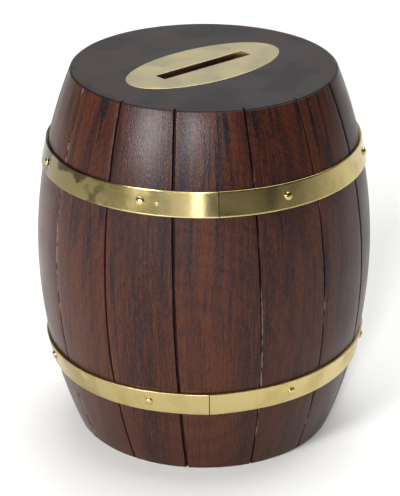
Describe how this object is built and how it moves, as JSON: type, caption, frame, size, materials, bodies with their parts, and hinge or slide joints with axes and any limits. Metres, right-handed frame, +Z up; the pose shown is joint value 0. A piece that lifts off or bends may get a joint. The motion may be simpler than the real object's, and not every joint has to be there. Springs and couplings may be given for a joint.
{
  "type": "money box",
  "caption": "Turned hardwood money box in the shape of a coopered barrel, with brass hoops pinned round it, an oval brass slot plate in the top and a screwed base disc.",
  "frame": {"origin": "middle of the foot, on the surface that the box stands on", "axes": "+Z up along the barrel's axis, +X along the coin slot, +Y across it"},
  "size_m": [0.1022, 0.1022, 0.115],
  "materials": {
    "turned_hardwood": "dark reddish-brown rosewood-like hardwood, waxed to a soft gloss",
    "disc_hardwood": "the same hardwood, sanded and sealed, duller than the side",
    "plate_brass": "sheet brass, satin from linishing",
    "hoop_brass": "rolled strip, polished",
    "pin_brass": "drawn pins, domed heads, polished",
    "screw_brass": "turned screws, slightly dulled"
  },
  "bodies": {
    "money_box": {"barrel": "turned_hardwood", "slot_plate": "plate_brass", "upper_hoop": "hoop_brass", "lower_hoop": "hoop_brass", "upper_hoop_pin_1": "pin_brass", "upper_hoop_pin_2": "pin_brass", "upper_hoop_pin_3": "pin_brass", "upper_hoop_pin_4": "pin_brass", "upper_hoop_pin_5": "pin_brass", "upper_hoop_pin_6": "pin_brass", "upper_hoop_pin_7": "pin_brass", "lower_hoop_pin_1": "pin_brass", "lower_hoop_pin_2": "pin_brass", "lower_hoop_pin_3": "pin_brass", "lower_hoop_pin_4": "pin_brass", "lower_hoop_pin_5": "pin_brass", "lower_hoop_pin_6": "pin_brass", "lower_hoop_pin_7": "pin_brass"},
    "base_disc": {"base_disc": "disc_hardwood"},
    "base_screw_1": {"base_screw_1": "screw_brass"},
    "base_screw_2": {"base_screw_2": "screw_brass"},
    "base_screw_3": {"base_screw_3": "screw_brass"}
  },
  "joints": [
    {"name": "base_disc_slide", "type": "slide", "parent": "money_box", "child": "base_disc", "axis": [0, 0, -1], "range_m": [0, 0.045]},
    {"name": "base_screw_1_turn", "type": "hinge", "parent": "base_disc", "child": "base_screw_1", "pos_m": [0, 0.0312, 0.00119], "axis": [0, 0, -1], "continuous": true},
    {"name": "base_screw_2_turn", "type": "hinge", "parent": "base_disc", "child": "base_screw_2", "pos_m": [-0.02702, -0.0156, 0.00119], "axis": [0, 0, -1], "continuous": true},
    {"name": "base_screw_3_turn", "type": "hinge", "parent": "base_disc", "child": "base_screw_3", "pos_m": [0.02702, -0.0156, 0.00119], "axis": [0, 0, -1], "continuous": true}
  ]
}
